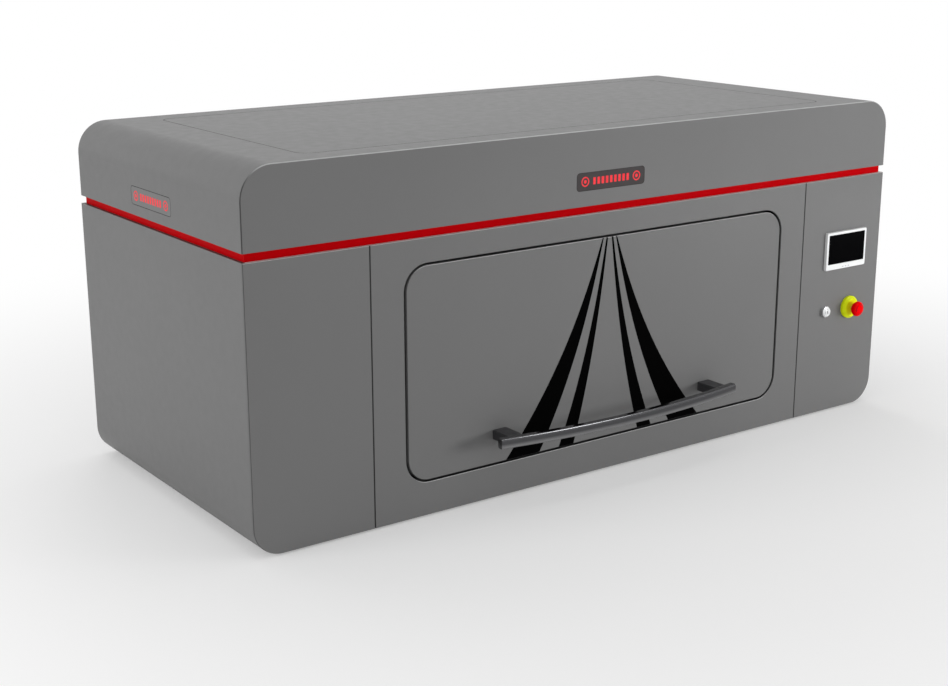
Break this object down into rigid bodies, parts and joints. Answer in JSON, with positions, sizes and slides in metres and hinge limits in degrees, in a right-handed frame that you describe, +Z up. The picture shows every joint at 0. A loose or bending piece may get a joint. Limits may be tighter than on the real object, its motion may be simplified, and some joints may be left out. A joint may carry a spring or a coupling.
{
  "type": "micro x-ray fluorescence spectrometer",
  "caption": "Wide shielded bench cabinet with a lift-up door, gas struts, a three-axis sample stage, an X-ray measuring head, an emergency stop, a display and rear fans.",
  "frame": {"origin": "centre of the footprint on the bench, in the middle of the bounding box", "axes": "+X to the right as seen from the front, +Y to the back, +Z up; the door and its handle face -Y"},
  "size_m": [1.9, 0.937, 0.828],
  "materials": {
    "body_paint": "satin grey paint",
    "red_paint": "satin red paint",
    "black_inlay": "gloss black",
    "dark_lens": "dark tinted lens",
    "black_plastic": "matt black",
    "white_plastic": "satin white",
    "screen_glass": "black glass",
    "yellow_plastic": "yellow",
    "red_plastic": "red",
    "bright_chrome": "polished chrome",
    "gunmetal": "dark brushed and lacquered",
    "shield_steel": "light grey paint",
    "frame_steel": "black paint",
    "zinc_steel": "zinc plated",
    "rail_steel": "ground steel",
    "anodised": "clear anodised",
    "black_anodised": "black anodised",
    "rubber_black": "matt"
  },
  "bodies": {
    "chassis": {"base_plate": "zinc_steel", "rubber_feet": "rubber_black", "left_side_panel": "body_paint", "right_side_panel": "body_paint", "front_left_panel": "body_paint", "front_centre_panel": "body_paint", "front_right_panel": "body_paint", "rear_panel": "body_paint", "deck_plate": "body_paint", "accent_band": "red_paint", "top_cap": "body_paint", "service_panel": "body_paint", "lamp_lenses": "dark_lens", "lamp_housings": "black_plastic", "display_bezel": "white_plastic", "display_screen": "screen_glass", "stop_collar": "yellow_plastic", "key_collar": "bright_chrome", "hinge_brackets": "frame_steel", "hinge_pins": "rail_steel", "frame_tubes": "frame_steel", "chamber_floor": "shield_steel", "chamber_ceiling": "shield_steel", "chamber_back_wall": "shield_steel", "chamber_side_walls": "shield_steel", "opening_seal": "rubber_black", "interlock_sensors": "yellow_plastic", "stage_base": "anodised", "y_rails": "rail_steel", "head_bracket": "anodised", "xray_tube": "zinc_steel", "capillary_optic": "rail_steel", "detectors": "black_anodised", "cameras": "black_anodised", "hv_generator": "shield_steel", "control_unit": "black_plastic", "fan_frames": "black_plastic", "fan_guards": "bright_chrome", "mains_inlet": "black_plastic", "data_sockets": "black_plastic"},
    "door": {"door_skin": "body_paint", "door_stripes": "black_inlay", "door_tray": "shield_steel", "handle_bar": "gunmetal", "handle_posts": "black_anodised", "hinge_arms": "frame_steel"},
    "strut_cylinders": {"strut_cylinders": "black_anodised"},
    "strut_rods": {"strut_rods": "rail_steel"},
    "y_stage": {"y_carriage": "anodised", "x_rails": "rail_steel"},
    "x_stage": {"x_carriage": "anodised", "lift_column": "black_anodised"},
    "z_stage": {"lift_ram": "rail_steel", "sample_table": "anodised"},
    "stop_plunger": {"stop_stem": "zinc_steel"},
    "stop_head": {"stop_button": "red_plastic"},
    "key": {"key_core": "zinc_steel"},
    "rocker": {"mains_rocker": "black_plastic"},
    "left_fan": {"left_fan_rotor": "black_plastic"},
    "right_fan": {"right_fan_rotor": "black_plastic"}
  },
  "joints": [
    {"name": "door_hinge", "type": "hinge", "parent": "chassis", "child": "door", "pos_m": [0, -0.3505, 0.6145], "axis": [-1, 0, 0], "range_deg": [0, 85]},
    {"name": "strut_swing", "type": "hinge", "parent": "chassis", "child": "strut_cylinders", "pos_m": [0, -0.2905, 0.5545], "axis": [-1, 0, 0], "range_deg": [0, 82.04]},
    {"name": "strut_extend", "type": "slide", "parent": "strut_cylinders", "child": "strut_rods", "axis": [0, -0.1961, -0.9806], "range_m": [0, 0.11378]},
    {"name": "stage_y", "type": "slide", "parent": "chassis", "child": "y_stage", "axis": [0, 1, 0], "range_m": [-0.12, 0.12]},
    {"name": "stage_x", "type": "slide", "parent": "y_stage", "child": "x_stage", "axis": [1, 0, 0], "range_m": [-0.15, 0.15]},
    {"name": "stage_z", "type": "slide", "parent": "x_stage", "child": "z_stage", "axis": [0, 0, 1], "range_m": [0, 0.06]},
    {"name": "stop_push", "type": "slide", "parent": "chassis", "child": "stop_plunger", "axis": [0, 1, 0], "range_m": [0, 0.005], "stiffness_N_per_m": 2000},
    {"name": "stop_twist", "type": "hinge", "parent": "stop_plunger", "child": "stop_head", "pos_m": [0.845, -0.3945, 0.282], "axis": [0, 1, 0], "range_deg": [0, 45], "stiffness_Nm_per_rad": 0.2},
    {"name": "key_turn", "type": "hinge", "parent": "chassis", "child": "key", "pos_m": [0.7525, -0.3645, 0.282], "axis": [0, 1, 0], "range_deg": [0, 90]},
    {"name": "rocker_tip", "type": "hinge", "parent": "chassis", "child": "rocker", "pos_m": [0.517, 0.4595, 0.09], "axis": [1, 0, 0], "range_deg": [0, 24]},
    {"name": "left_fan_spin", "type": "hinge", "parent": "chassis", "child": "left_fan", "pos_m": [-0.7815, 0.4435, 0.33], "axis": [0, 1, 0], "continuous": true},
    {"name": "right_fan_spin", "type": "hinge", "parent": "chassis", "child": "right_fan", "pos_m": [0.7815, 0.4435, 0.33], "axis": [0, 1, 0], "continuous": true}
  ],
  "couplings": [
    {"joint": "strut_swing", "follows": "door_hinge", "ratio": 0.96498},
    {"joint": "strut_extend", "follows": "door_hinge", "m_per_rad": 0.076679}
  ]
}
